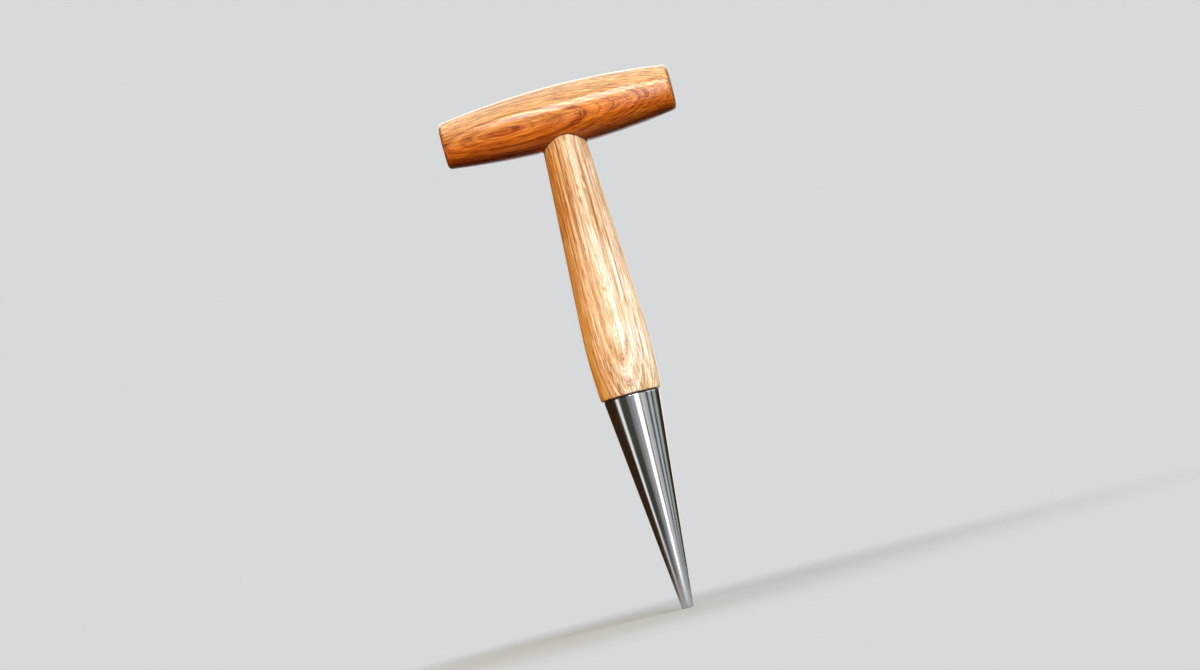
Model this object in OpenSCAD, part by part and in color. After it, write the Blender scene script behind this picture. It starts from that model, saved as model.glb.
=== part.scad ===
// A garden dibber: a turned hardwood T handle on a hollow steel point.
// +Z runs up the shaft, the crossbar lies along X, and the tip of the point is the origin.
// The front faces -Y. The dowel and the screw go in from the back, so neither shows from the front.

/* [Steel point] */
// Length of the point, from its tip to its rim
point_length = 113; // [95:1:140]
// Outside diameter of the point at its rim
rim_d = 29.4; // [27:0.1:30.4]
// Outside diameter of the point at its tip, before the edge is rounded
tip_d = 6; // [5.2:0.1:9]
// Wall of the point, measured square to its side
wall = 1.5; // [1:0.1:2]
// Radius of the rounded edge at the tip
tip_round = 0.8; // [0.3:0.1:1.1]
// Radius of the rounded outer edge at the rim
rim_round = 0.4; // [0.1:0.1:0.8]
// Length of the plug that closes the tip
plug_length = 18; // [10:1:30]

/* [Shaft] */
// Height of the crossbar's axis above the shaft's shoulder
shaft_rise = 150.4; // [110:0.1:220]
// Diameter of the neck, and of the tenon that goes on into the crossbar
neck_d = 23.4; // [18:0.1:26]
// Diameter of the belly, the widest part of the shaft
belly_d = 34.2; // [33:0.1:40]
// Height of the belly above the shoulder
belly_rise = 25; // [18:0.5:35]
// Diameter of the shoulder that sits on the rim, before the edge is rounded
shoulder_d = 32; // [31:0.1:33.4]
// Radius of the rounded edge of the shoulder
shoulder_round = 1.2; // [0.4:0.1:1.3]
// Length of the tapered spigot inside the point
spigot_length = 60; // [35:1:80]
// Chamfer round the end of the spigot
spigot_chamfer = 1; // [0.5:0.1:2]

/* [Crossbar] */
// Length of the crossbar
bar_length = 123; // [90:1:160]
// Diameter of the crossbar at its middle
bar_d = 33.2; // [30:0.1:40]
// Diameter of the crossbar at its ends, before the edges are rounded
bar_end_d = 24; // [18:0.1:28]
// Radius of the rounded edge of each end
bar_round = 2.5; // [0.5:0.1:4]
// Depth of the mortise, from the lowest line of the crossbar
mortise_depth = 22; // [15:0.5:26]
// Chamfer round the top of the tenon
tenon_chamfer = 1; // [0.5:0.1:2]

/* [Tenon dowel] */
// Diameter of the dowel
dowel_d = 6; // [4:0.5:8]
// Depth of the dowel, from the back of the crossbar
dowel_depth = 20; // [12:0.5:26]
// Height of the dowel above the lowest line of the crossbar
dowel_rise = 12.5; // [9:0.5:16]

/* [Socket screw] */
// Distance of the screw below the rim of the point
screw_below_rim = 13; // [8:0.5:30]
// Diameter of the screw's shank
screw_d = 3; // [2.5:0.1:3.5]
// Diameter of the screw's countersunk head
screw_head_d = 6; // [5:0.1:7]
// Length of the screw, from the top of its head to its point
screw_length = 14; // [10:0.5:18]
// Length of the screw's own pointed end
screw_tip_length = 3; // [2:0.5:5]
// Height of the upright edge of the screw's head
screw_edge = 0.2; // [0.1:0.05:0.4]
// Depth of the screw's head below the steel
screw_sink = 0.2; // [0:0.05:0.4]
// Length of each arm of the cross recess, from end to end
recess_length = 3.2; // [2.4:0.1:3.6]
// Width of each arm of the cross recess
recess_width = 0.8; // [0.5:0.1:1.2]
// Depth of the cross recess
recess_depth = 0.9; // [0.5:0.1:1.2]

/* [Fits] */
// Gap all round the tenon, for glue
tenon_gap = 0.1; // [0.05:0.05:0.3]
// Gap all round the spigot, for glue
spigot_gap = 0.1; // [0.05:0.05:0.3]
// Gap all round the plug
plug_gap = 0.05; // [0.02:0.01:0.1]
// Gap all round the dowel, for glue
dowel_gap = 0.05; // [0.02:0.01:0.2]
// Gap all round the screw
screw_gap = 0.05; // [0.02:0.01:0.2]
// Space beyond the end of a blind fit
end_gap = 0.5; // [0.2:0.1:0.9]

/* [Hidden] */
$fn = 96;

long_arc_steps = 32;
edge_arc_steps = 8;

// Side of the point
side_angle = atan((rim_d - tip_d) / 2 / point_length);

// Crossbar: a barrel arc from end to end, with a rounded edge at each end
bar_z = point_length + shaft_rise;
bar_half = bar_length / 2;
bar_arc_r = arc_through(bar_half, (bar_d - bar_end_d) / 2);
bar_centre = [bar_d / 2 - bar_arc_r, 0];
bar_corner = edge_in_arc(bar_centre, bar_arc_r, bar_half - bar_round, bar_round);
bar_corner_angle = angle_from(bar_centre, bar_corner);

// Mortise and tenon
neck_z = bar_z - bar_d / 2;
mortise_top = neck_z + mortise_depth;
tenon_top = mortise_top - end_gap;

// Shaft: a belly arc that runs up, tangent, into a straight taper to the neck
spigot_end = point_length - spigot_length;
belly_arc_r = arc_through(belly_rise, (belly_d - shoulder_d) / 2);
belly_centre = [belly_d / 2 - belly_arc_r, point_length + belly_rise];
shoulder_corner = edge_in_arc(belly_centre, belly_arc_r, point_length + shoulder_round, shoulder_round);
shoulder_angle = angle_from(belly_centre, shoulder_corner);
neck_point = [neck_d / 2, neck_z];
taper_angle = angle_from(belly_centre, neck_point) - acos(belly_arc_r / norm(neck_point - belly_centre));

// Fasteners
dowel_z = neck_z + dowel_rise;
dowel_end_y = bar_d / 2 - dowel_depth;
screw_z = point_length - screw_below_rim;
screw_head_height = (screw_head_d - screw_d) / 2;
// Height to which the screw's hole is cut clear above its head
screw_mouth = screw_head_d / 2;

// Outside and inside radius of the point at a height above its tip
function point_r(z) = tip_d / 2 + z * tan(side_angle);
function socket_r(z) = point_r(z) - wall / cos(side_angle);

// Radius of a taper that fits in the point with a gap, at a height above the tip
function fitted_r(z, gap) = socket_r(z) - gap / cos(side_angle);

// Radius of the arc that falls by a drop over a half length
function arc_through(half, drop) = (half * half + drop * drop) / (2 * drop);

// Centre of an edge's round, at a given height, that lies inside a larger arc and touches it
function edge_in_arc(centre, r, height, round) =
    [centre.x + sqrt(pow(r - round, 2) - pow(height - centre.y, 2)), height];

// Direction from one point of a profile to another
function angle_from(a, b) = atan2(b.y - a.y, b.x - a.x);

// Points of an arc, from one angle to another
function arc(centre, r, from, to, steps) =
    [for (i = [0:steps]) let (a = from + (to - from) * i / steps) centre + r * [cos(a), sin(a)]];

// A lathe-turned solid. The profile gives radius and height, up one side of the axis.
module turned(profile) {
    rotate_extrude()
        polygon(profile);
}

// The crossbar before it is drilled
module bar_blank() {
    translate([0, 0, bar_z])
        rotate([0, 90, 0])
            turned(concat(
                [[0, -bar_half]],
                arc([bar_corner.x, -bar_corner.y], bar_round, -90, -bar_corner_angle, edge_arc_steps),
                arc(bar_centre, bar_arc_r, -bar_corner_angle, bar_corner_angle, long_arc_steps),
                arc(bar_corner, bar_round, bar_corner_angle, 90, edge_arc_steps),
                [[0, bar_half]]));
}

// The round bar of a dowel or of its hole, from the blind end out through the back of the crossbar
module dowel_rod(r, end_y) {
    translate([0, end_y, dowel_z])
        rotate([-90, 0, 0])
            cylinder(h = bar_d / 2 + end_gap - end_y, r = r);
}

// Places the screw: its axis is square to the back of the point, and +Z leads out of the steel
module at_screw() {
    translate([0, point_r(screw_z), screw_z])
        rotate([-90 - side_angle, 0, 0])
            translate([0, 0, -screw_sink])
                children();
}

// Outline of the screw, or of its hole with a gap all round
module screw_form(gap, mouth) {
    head_r = screw_head_d / 2 + gap;
    shank_r = screw_d / 2 + gap;
    turned([
        [0, -screw_length - gap],
        [shank_r, -screw_length + screw_tip_length - gap],
        [shank_r, -screw_edge - screw_head_height],
        [head_r, -screw_edge],
        [head_r, mouth],
        [0, mouth]]);
}

module screw_hole() {
    at_screw()
        screw_form(screw_gap, screw_mouth);
}

module crossbar() {
    color("peru")
        difference() {
            bar_blank();
            translate([0, 0, bar_z - bar_d])
                cylinder(h = mortise_top - bar_z + bar_d, r = neck_d / 2 + tenon_gap);
            dowel_rod(dowel_d / 2 + dowel_gap, dowel_end_y - end_gap);
        }
}

module shaft() {
    color("burlywood")
        difference() {
            turned(concat(
                [[0, spigot_end],
                [fitted_r(spigot_end, spigot_gap) - spigot_chamfer, spigot_end],
                [fitted_r(spigot_end + spigot_chamfer, spigot_gap), spigot_end + spigot_chamfer],
                [fitted_r(point_length, spigot_gap), point_length]],
                arc(shoulder_corner, shoulder_round, -90, shoulder_angle, edge_arc_steps),
                arc(belly_centre, belly_arc_r, shoulder_angle, taper_angle, long_arc_steps),
                [neck_point,
                [neck_d / 2, tenon_top - tenon_chamfer],
                [neck_d / 2 - tenon_chamfer, tenon_top],
                [0, tenon_top]]));
            dowel_rod(dowel_d / 2 + dowel_gap, dowel_end_y - end_gap);
            screw_hole();
        }
}

module point_shell() {
    tip_corner = [point_r(tip_round) - tip_round / cos(side_angle), tip_round];
    rim_corner = [point_r(point_length - rim_round) - rim_round / cos(side_angle), point_length - rim_round];
    color("silver")
        difference() {
            turned(concat(
                [[socket_r(0), 0]],
                arc(tip_corner, tip_round, -90, -side_angle, edge_arc_steps),
                arc(rim_corner, rim_round, -side_angle, 90, edge_arc_steps),
                [[socket_r(point_length), point_length]]));
            screw_hole();
        }
}

module nose_plug() {
    color("darkgray")
        cylinder(h = plug_length, r1 = fitted_r(0, plug_gap), r2 = fitted_r(plug_length, plug_gap));
}

module tenon_dowel() {
    color("tan")
        intersection() {
            dowel_rod(dowel_d / 2, dowel_end_y);
            bar_blank();
        }
}

module socket_screw() {
    color("gainsboro")
        at_screw()
            difference() {
                screw_form(0, 0);
                for (turn = [0, 90])
                    rotate(turn)
                        cube([recess_length, recess_width, 2 * recess_depth], center = true);
            }
}

crossbar();
shaft();
point_shell();
nose_plug();
tenon_dowel();
socket_screw();
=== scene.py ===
"""Looks of a garden dibber: turned ash crossbar and shaft, and a polished steel point."""

import logging
import math
from dataclasses import dataclass, field
from enum import Enum
from typing import Callable, Mapping, NamedTuple, Sequence, Union

import bmesh
import bpy
from mathutils import Color, Matrix, Vector
from mathutils.kdtree import KDTree


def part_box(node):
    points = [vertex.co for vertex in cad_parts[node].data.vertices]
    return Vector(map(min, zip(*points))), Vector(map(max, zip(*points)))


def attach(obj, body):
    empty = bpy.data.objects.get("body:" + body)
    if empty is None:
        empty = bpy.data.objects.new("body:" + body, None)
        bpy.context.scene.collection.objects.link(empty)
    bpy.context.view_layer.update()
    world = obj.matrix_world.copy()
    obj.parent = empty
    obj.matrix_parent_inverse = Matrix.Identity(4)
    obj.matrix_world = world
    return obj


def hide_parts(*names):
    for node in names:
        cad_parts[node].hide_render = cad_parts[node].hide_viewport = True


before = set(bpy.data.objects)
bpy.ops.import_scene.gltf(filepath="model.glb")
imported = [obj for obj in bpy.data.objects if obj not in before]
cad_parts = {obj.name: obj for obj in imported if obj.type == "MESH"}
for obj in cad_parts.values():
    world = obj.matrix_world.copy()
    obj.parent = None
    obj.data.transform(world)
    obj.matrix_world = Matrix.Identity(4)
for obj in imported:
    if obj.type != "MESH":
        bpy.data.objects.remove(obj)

MM = 0.001
UP = Vector((0.0, 0.0, 1.0))
FLAT = (1.0, 1.0, 0.0)
WHITE = (1.0, 1.0, 1.0)
BLACK = (0.0, 0.0, 0.0)
FULL_CHANNEL = 255
QUARTER_TURN = math.pi / 2
HALF_TURN_DEGREES = 180.0
BODY = "root"
log = logging.getLogger("dibber")

Point = tuple[float, float]
Colour = tuple[float, float, float]
Piece = bpy.types.Object
Part = Union[bmesh.types.BMVert, bmesh.types.BMEdge, bmesh.types.BMFace]
Socket = bpy.types.NodeSocket
Feed = Union[float, Colour, Vector, Socket]
Inputs = Mapping[Union[str, int], Feed]


def linear(red: int, green: int, blue: int) -> Colour:
    """Turns a display colour, with channels from 0 to 255, into the linear one that shaders take."""
    return tuple((Color((red, green, blue)) / FULL_CHANNEL).from_srgb_to_scene_linear())


class Turning(Enum):
    """Axis that a turned piece spins round."""

    UPRIGHT = (0.0, 0.0, 1.0)
    ACROSS = (1.0, 0.0, 0.0)


def arc(centre: Point, radius: float, start: float, end: float, steps: int) -> list[Point]:
    """Returns the points of an arc on a profile, from one angle to another, ends included."""
    turns = [start + (end - start) * i / steps for i in range(steps + 1)]
    return [(centre[0] + radius * math.cos(a), centre[1] + radius * math.sin(a)) for a in turns]


def line(start: Point, end: Point, steps: int) -> list[Point]:
    """Returns evenly spaced points from one point of a profile to another, without the first."""
    shares = [i / steps for i in range(1, steps + 1)]
    return [(start[0] + (end[0] - start[0]) * s, start[1] + (end[1] - start[1]) * s) for s in shares]


def arc_radius(half: float, drop: float) -> float:
    """Returns the radius of the arc that falls by drop over half its chord."""
    return (half * half + drop * drop) / (2 * drop)


def edge_centre(centre: Point, radius: float, height: float, edge: float) -> Point:
    """Returns the centre of an edge's round, at a height, that touches a larger arc from inside."""
    reach = math.sqrt((radius - edge) ** 2 - (height - centre[1]) ** 2)
    return centre[0] + reach, height


def angle_to(start: Point, end: Point) -> float:
    """Returns the angle of the way from one profile point to another."""
    return math.atan2(end[1] - start[1], end[0] - start[0])


class Span(NamedTuple):
    """A range of a number, and what its ends are mapped to.

    Attributes:
        low: Start of the range.
        high: End of the range.
        first: Result at the start.
        last: Result at the end.
    """

    low: Feed
    high: Feed
    first: float = 0.0
    last: float = 1.0


class Noise(NamedTuple):
    """A noise that is drawn out along an axis.

    Attributes:
        across: Changes in a millimetre across the axis.
        along: Changes in a millimetre along the axis.
        detail: Number of finer layers.
        rough: Strength of each finer layer against the last.
    """

    across: float
    along: float
    detail: float = 2.0
    rough: float = 0.5


class ShaderBoard:
    """Adds the nodes of one shader and links them.

    Attributes:
        tree: Tree that the nodes go on.
    """

    MAP_INPUTS = ("Value", "From Min", "From Max", "To Min", "To Max")
    NUMBER_RESULTS = ("DOT_PRODUCT", "LENGTH")
    # Colour sockets of a Mix node, which share their names with others
    MIX_FIRST = 6
    MIX_SECOND = 7
    MIX_RESULT = 2

    def __init__(self, owner: Union[bpy.types.Material, bpy.types.World]) -> None:
        """Gives a material or a world an empty tree.

        Args:
            owner: The material or the world.
        """
        owner.use_nodes = True
        self.tree = owner.node_tree
        self.tree.nodes.clear()

    def add(self, kind: str, inputs: Union[Inputs, None] = None, **settings: object) -> bpy.types.Node:
        """Adds a node, sets its options and feeds its inputs.

        Args:
            kind: Name of the node's type, without the shader prefix.
            inputs: What its inputs take, by name or number.
            **settings: Options of the node.

        Returns:
            The new node.
        """
        node = self.tree.nodes.new("ShaderNode" + kind)
        for key, value in settings.items():
            setattr(node, key, value)
        for key, value in (inputs or {}).items():
            socket = node.inputs[key]
            if isinstance(value, Socket):
                self.tree.links.new(value, socket)
            else:
                socket.default_value = (*value, 1.0) if socket.type == "RGBA" else value
        return node

    def result(self, kind: str, inputs: Union[Inputs, None] = None, **settings: object) -> Socket:
        """Adds a node as add does, and returns its first output."""
        return self.add(kind, inputs, **settings).outputs[0]

    def millimetres(self, origin: Vector, axis: Vector) -> Socket:
        """Finds where a point of the piece lies, in millimetres.

        Args:
            origin: Point that is taken as zero.
            axis: Direction that is taken as up.

        Returns:
            The place as a vector.
        """
        turn = axis.normalized().rotation_difference(UP).to_matrix()
        scale = 1 / MM
        inputs = {"Vector": self.add("TexCoord").outputs["Object"], "Scale": (scale, scale, scale),
                  "Rotation": tuple(turn.to_euler("XYZ")), "Location": -(turn @ (origin * scale))}
        return self.result("Mapping", inputs, vector_type="POINT")

    def math(self, operation: str, *values: Feed) -> Socket:
        """Returns the result of an operation on numbers."""
        return self.result("Math", dict(enumerate(values)), operation=operation)

    def vector(self, operation: str, *values: Feed) -> Socket:
        """Returns the result of an operation on vectors."""
        node = self.add("VectorMath", dict(enumerate(values)), operation=operation)
        return node.outputs["Value" if operation in self.NUMBER_RESULTS else "Vector"]

    def split(self, vector: Feed) -> Sequence[Socket]:
        """Returns the three parts of a vector."""
        return tuple(self.add("SeparateXYZ", {0: vector}).outputs)

    def remap(self, value: Feed, span: Span) -> Socket:
        """Maps a range smoothly onto another, holds the ends and returns the result."""
        inputs = dict(zip(self.MAP_INPUTS, (value, *span)))
        return self.result("MapRange", inputs, interpolation_type="SMOOTHSTEP")

    def noise(self, vector: Feed, scale: float, detail: float = 2.0, rough: float = 0.5) -> Socket:
        """Returns a noise from 0 to 1 over a vector."""
        inputs = {"Vector": vector, "Scale": scale, "Detail": detail, "Roughness": rough}
        return self.result("TexNoise", inputs, noise_dimensions="3D")

    def drawn_noise(self, place: Feed, kind: Noise) -> Socket:
        """Returns a noise from 0 to 1 that is drawn out along the third axis of a place."""
        stretched = self.vector("MULTIPLY", place, (kind.across, kind.across, kind.along))
        return self.noise(stretched, 1.0, kind.detail, kind.rough)

    def line_noise(self, value: Feed, detail: float = 2.0) -> Socket:
        """Returns a noise from 0 to 1 over a number."""
        return self.result("TexNoise", {"W": value, "Detail": detail}, noise_dimensions="1D")

    def sway(self, noise: Feed, reach: float) -> Socket:
        """Returns a noise moved to swing round zero, over a reach in all."""
        return self.math("MULTIPLY", self.math("SUBTRACT", noise, 0.5), reach)

    def mix(self, factor: Feed, first: Feed, second: Feed, blend: str = "MIX") -> Socket:
        """Mixes two colours.

        Args:
            factor: Share of the second colour.
            first: Colour at 0.
            second: Colour at 1.
            blend: Way of mixing.

        Returns:
            The mixed colour.
        """
        inputs = {0: factor, self.MIX_FIRST: first, self.MIX_SECOND: second}
        node = self.add("Mix", inputs, data_type="RGBA", blend_type=blend, clamp_factor=True)
        return node.outputs[self.MIX_RESULT]

    def show(self, shader: Socket, output: str = "OutputMaterial") -> None:
        """Makes a shader the one that shows."""
        self.add(output, {"Surface": shader})


@dataclass(frozen=True)
class Vessels:
    """One kind of the open tubes that show as dashes along the grain.

    Attributes:
        spacing: Distance between neighbours across the grain, in millimetres.
        length: Distance between neighbours along the grain, in millimetres.
        reach: Half width of a vessel, as a share of the spacing.
        early_share: Share of the places in early wood that hold a vessel.
        late_share: Share of the places in late wood that hold a vessel.
    """

    spacing: float
    length: float
    reach: float
    early_share: float
    late_share: float


@dataclass(frozen=True)
class AshFinish:
    """Lacquered ash, cut from one place in a log, so that its rings run right through the piece.

    Attributes:
        name: Name of the material.
        pith: A point on the middle line of the log.
        grain: Direction of the middle line of the log.
        pale: Colour of the middle of each ring.
        honey: Colour of the dense end of each ring.
        row: Colour of the row of pores that starts a ring.
        pore: Colour of the open pores.
        blush: Tint of the darker patches.
        tint_and_painted_shade: Tint of one side. On the crossbar it is painted shade: deeper orange below
            and paler above, as light falls. On the shaft it darkens the top.
        tint_and_painted_shade_span: Where that tint starts to fade and where it ends, in millimetres from
            pith.
        soaked: Tint of the end grain.
        ring_step: Mean width of a ring, in millimetres.
        wander: How far the rings stray from round, in millimetres.
        row_depth: Strength of the rows of pores.
        fibre_span: Brightness of the darkest and the lightest fibres.
        streak_share: Share of the long streaks in that brightness.
        tint_and_painted_shade_way: Direction of tint_and_painted_shade_span, or nothing for the grain.
        outer_rings: Rings where the rows start to fade outwards and where they are faint.
        outer_rows: Strength of the rows and the fibres out there.
        fine: The many fine vessels.
        bold: The few wide vessels.
    """

    name: str
    pith: Vector
    grain: Vector
    pale: Colour
    honey: Colour
    row: Colour
    pore: Colour
    blush: Colour
    tint_and_painted_shade: Colour
    tint_and_painted_shade_span: Point
    soaked: Colour = linear(172, 150, 132)
    ring_step: float = 1.3
    wander: float = 1.8
    row_depth: float = 0.85
    fibre_span: Point = (0.48, 1.28)
    streak_share: float = 0.2
    tint_and_painted_shade_way: Union[Vector, None] = None
    outer_rings: Point = (48.4, 49.8)
    outer_rows: float = 1.0
    fine: Vessels = Vessels(0.5, 7.5, 0.44, 0.9, 0.06)
    bold: Vessels = Vessels(0.75, 8.0, 0.42, 0.95, 0.01)

    def build(self) -> bpy.types.Material:
        """Builds the material.

        Returns:
            The material.
        """
        material = bpy.data.materials.new(self.name)
        AshShader(material, self).finish()
        return material


class AshShader(ShaderBoard):
    """The nodes of one piece of ash.

    Attributes:
        ash: Finish that the nodes show.
        place: Place in the log, in millimetres, with the pith upright.
        fibre: Noise of the fine fibres.
        streak: Noise of the long streaks.
        patch: Noise of the darker patches.
        count: Number of rings between the pith and a point.
        part: How far a point lies through its ring, from 0 to 1.
        ends: 1 on end grain, and 0 elsewhere.
        tint_and_painted_shade: 1 on the tinted side, and 0 on the other side. On the crossbar the tinted
            side is the painted shade of its lower half.
        outer: 1 in the outer rings of the untinted side, and 0 elsewhere.
        depth: Strength of the row of pores at a point.
        open: 1 in an open pore, and 0 elsewhere.
    """

    # Noises of the wood
    FIBRE = Noise(1.35, 0.06, 3.0, 0.7)
    STREAK = Noise(0.8, 0.02, 3.0, 0.6)
    RIPPLE = Noise(0.35, 0.12)
    PATCH = Noise(0.1, 0.05)
    GAPS = Noise(0.3, 0.04)
    # How the rings stray from round, and how their widths differ
    STRAYS = ((Noise(0.035, 0.009, 1.0), 2.0), (Noise(0.2, 0.03), 0.4))
    UNEVEN_RATE = 0.45
    UNEVEN_REACH = 1.3
    # Parts of a ring, the early ones with their start at the end of the ring before
    ROW = (Span(0.04, 0.28, 1.0, 0.0), Span(0.95, 1.0))
    EARLY = (Span(0.25, 0.5, 1.0, 0.0), Span(0.97, 1.0))
    BRIGHT = (Span(0.3, 0.5), Span(0.5, 0.8, 1.0, 0.0))
    LATE = Span(0.4, 0.95)
    # Strength of the rows, by the year and by the gaps in them
    YEARS = Span(0.1, 0.85, 0.35, 1.0)
    BROKEN = Span(0.35, 0.6, 0.45, 1.0)
    # Widths of a vessel and of its core, as shares of its reach, and the depth of the fine ones
    WIDTHS = (0.5, 1.1)
    CORE = 0.45
    FINE_DEPTH = 0.8
    # Strength of the colours
    HONEY_SHARE = 0.55
    PORE_SHARE = 0.9
    BLUSH = Span(0.36, 0.7, 0.0, 0.8)
    STREAKS = Span(0.5, 0.7, 0.0, 0.6)
    FACING = Span(0.3, 0.85)
    END_TINT_AND_SHADE = Span(0.0, 1.0, 1.0, 0.4)
    PATCH_REACH = 12.0
    # Brightness of the fibres and of the growth lines, and how much each channel follows it
    THREADS = (0.37, 0.63)
    EVENNESS = 0.4
    BRIGHT_GAIN = 0.16
    GROWTH_RATE = 4.0
    GROWTH_DETAIL = 3.0
    GROWTH = Span(0.36, 0.6, 0.7, 1.08)
    TONE_POWERS = (0.6, 1.0, 1.6)
    # Relief of fibres, patches, streaks and ripples, against pores of 1
    RELIEF = (0.25, 3.0, 0.8, 2.6)
    POLISH = Span(0.2, 0.8, 0.36, 0.48)
    PORE_ROUGH = 0.25

    def __init__(self, owner: bpy.types.Material, ash: AshFinish) -> None:
        """Lays out what the colours and the relief are made from.

        Args:
            owner: Material that the nodes go in.
            ash: Finish that they show.
        """
        super().__init__(owner)
        self.ash = ash
        self.place = self.millimetres(ash.pith, ash.grain)
        self.fibre = self.drawn_noise(self.place, self.FIBRE)
        self.streak = self.drawn_noise(self.place, self.STREAK)
        self.patch = self.drawn_noise(self.place, self.PATCH)
        self.count = self.rings()
        self.part = self.math("FRACT", self.count)
        normal = self.add("TexCoord").outputs["Normal"]
        facing = self.vector("DOT_PRODUCT", normal, ash.grain.normalized())
        self.ends = self.remap(self.math("ABSOLUTE", facing), self.FACING)
        self.tint_and_painted_shade = self.tint_and_painted_shade_side()
        self.outer = self.math("MULTIPLY", self.remap(self.count, Span(*ash.outer_rings)),
                               self.math("SUBTRACT", 1.0, self.tint_and_painted_shade))
        self.depth = self.row_strength()
        self.open = self.pores()

    def rings(self) -> Socket:
        """Counts the rings from the pith outwards.

        Returns:
            How many rings lie between the pith and a point.
        """
        away = self.vector("LENGTH", self.vector("MULTIPLY", self.place, FLAT))
        for kind, share in self.STRAYS:
            stray = self.sway(self.drawn_noise(self.place, kind), self.ash.wander * share)
            away = self.math("ADD", away, stray)
        count = self.math("DIVIDE", away, self.ash.ring_step)
        uneven = self.line_noise(self.math("MULTIPLY", count, self.UNEVEN_RATE))
        return self.math("MULTIPLY_ADD", uneven, self.UNEVEN_REACH, count)

    def ring_part(self, operation: str, spans: Sequence[Span]) -> Socket:
        """Returns 1 in a part of each ring and 0 elsewhere, from the two spans that bound it."""
        return self.math(operation, *(self.remap(self.part, span) for span in spans))

    def tint_and_painted_shade_side(self) -> Socket:
        """Tells the tinted side of the piece from the other one. On the crossbar the tint is painted shade
        on its lower half.

        Returns:
            1 on the tinted side and 0 on the other side.
        """
        ash = self.ash
        turn = ash.grain.normalized().rotation_difference(UP)
        along = self.vector("DOT_PRODUCT", self.place, turn @ (ash.tint_and_painted_shade_way or ash.grain).normalized())
        reach = self.math("ADD", along, self.sway(self.patch, self.PATCH_REACH))
        return self.remap(reach, Span(*ash.tint_and_painted_shade_span, 1.0, 0.0))

    def row_strength(self) -> Socket:
        """Varies the row of pores by year, along the row and outwards.

        Returns:
            The strength of the row.
        """
        year = self.add("TexWhiteNoise", {"W": self.math("FLOOR", self.count)}, noise_dimensions="1D")
        gaps = self.drawn_noise(self.place, self.GAPS)
        strength = self.math("MULTIPLY", self.remap(year.outputs["Value"], self.YEARS),
                             self.remap(gaps, self.BROKEN))
        outer = self.remap(self.outer, Span(0.0, 1.0, 1.0, self.ash.outer_rows))
        return self.math("MULTIPLY", strength, outer)

    def vessels(self, zone: Socket, kind: Vessels) -> Socket:
        """Scatters one kind of vessel, with most of them in the early wood.

        Args:
            zone: 1 in the early wood and 0 in the late wood.
            kind: Size and number of the vessels.

        Returns:
            1 in a vessel and 0 elsewhere.
        """
        spread = (1 / kind.spacing, 1 / kind.spacing, 1 / kind.length)
        inputs = {"Vector": self.vector("MULTIPLY", self.place, spread), "Scale": 1.0}
        cells = self.add("TexVoronoi", inputs, feature="F1", voronoi_dimensions="3D")
        size, chance, _ = self.add("SeparateColor", {0: cells.outputs["Color"]}).outputs
        share = self.math("MULTIPLY_ADD", zone, kind.early_share, kind.late_share)
        kept = self.math("LESS_THAN", chance, share)
        reach = self.remap(size, Span(0.0, 1.0, *(kind.reach * width for width in self.WIDTHS)))
        core = self.math("MULTIPLY", reach, self.CORE)
        return self.math("MULTIPLY", self.remap(cells.outputs["Distance"], Span(reach, core)), kept)

    def pores(self) -> Socket:
        """Opens the pores, most of them in the early wood.

        Returns:
            1 in an open pore and 0 elsewhere.
        """
        early = self.math("MULTIPLY", self.ring_part("MAXIMUM", self.EARLY), self.depth)
        fine = self.math("MULTIPLY", self.vessels(early, self.ash.fine), self.FINE_DEPTH)
        return self.math("MAXIMUM", self.vessels(early, self.ash.bold), fine)

    def tone(self) -> Socket:
        """Shades the fibres, the streaks and the growth lines.

        Returns:
            Their brightness, as a colour to multiply by.
        """
        ash = self.ash
        thread = self.math("MULTIPLY_ADD", self.streak, ash.streak_share,
                           self.math("MULTIPLY", self.fibre, 1 - ash.streak_share))
        shade = self.remap(thread, Span(*self.THREADS, *ash.fibre_span))
        even = self.math("MULTIPLY", self.outer, (1 - ash.outer_rows) * self.EVENNESS)
        shade = self.math("MULTIPLY_ADD", self.math("SUBTRACT", 1.0, shade), even, shade)
        shade = self.math("MULTIPLY_ADD", self.ring_part("MULTIPLY", self.BRIGHT), self.BRIGHT_GAIN, shade)
        growth = self.line_noise(self.math("MULTIPLY", self.count, self.GROWTH_RATE), self.GROWTH_DETAIL)
        shade = self.math("MULTIPLY", shade, self.remap(growth, self.GROWTH))
        channels = [self.math("POWER", shade, power) for power in self.TONE_POWERS]
        return self.result("CombineColor", dict(enumerate(channels)))

    def colour(self) -> Socket:
        """Lays the colours on, from the rings up to the open pores.

        Returns:
            The colour of the wood.
        """
        ash = self.ash
        strength = self.math("MULTIPLY", self.depth, ash.row_depth)
        row = self.math("MULTIPLY", self.ring_part("MAXIMUM", self.ROW), strength)
        # Painted shade on the crossbar: the tint deepens its lower half to orange and leaves its top paler,
        # as light falls. On the shaft it darkens the top. End grain takes less of it.
        tint_and_painted_shade = self.math("MULTIPLY", self.tint_and_painted_shade, self.remap(self.ends, self.END_TINT_AND_SHADE))
        late = self.math("MULTIPLY", self.remap(self.part, self.LATE), self.HONEY_SHARE)
        colour = self.mix(late, ash.pale, ash.honey)
        colour = self.mix(row, colour, ash.row)
        colour = self.mix(self.remap(self.patch, self.BLUSH), colour, ash.blush, "MULTIPLY")
        colour = self.mix(self.remap(self.streak, self.STREAKS), colour, ash.honey)
        colour = self.mix(tint_and_painted_shade, colour, ash.tint_and_painted_shade, "MULTIPLY")
        colour = self.mix(self.ends, colour, ash.soaked, "MULTIPLY")
        colour = self.mix(1.0, colour, self.tone(), "MULTIPLY")
        return self.mix(self.math("MULTIPLY", self.open, self.PORE_SHARE), colour, ash.pore)

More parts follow.
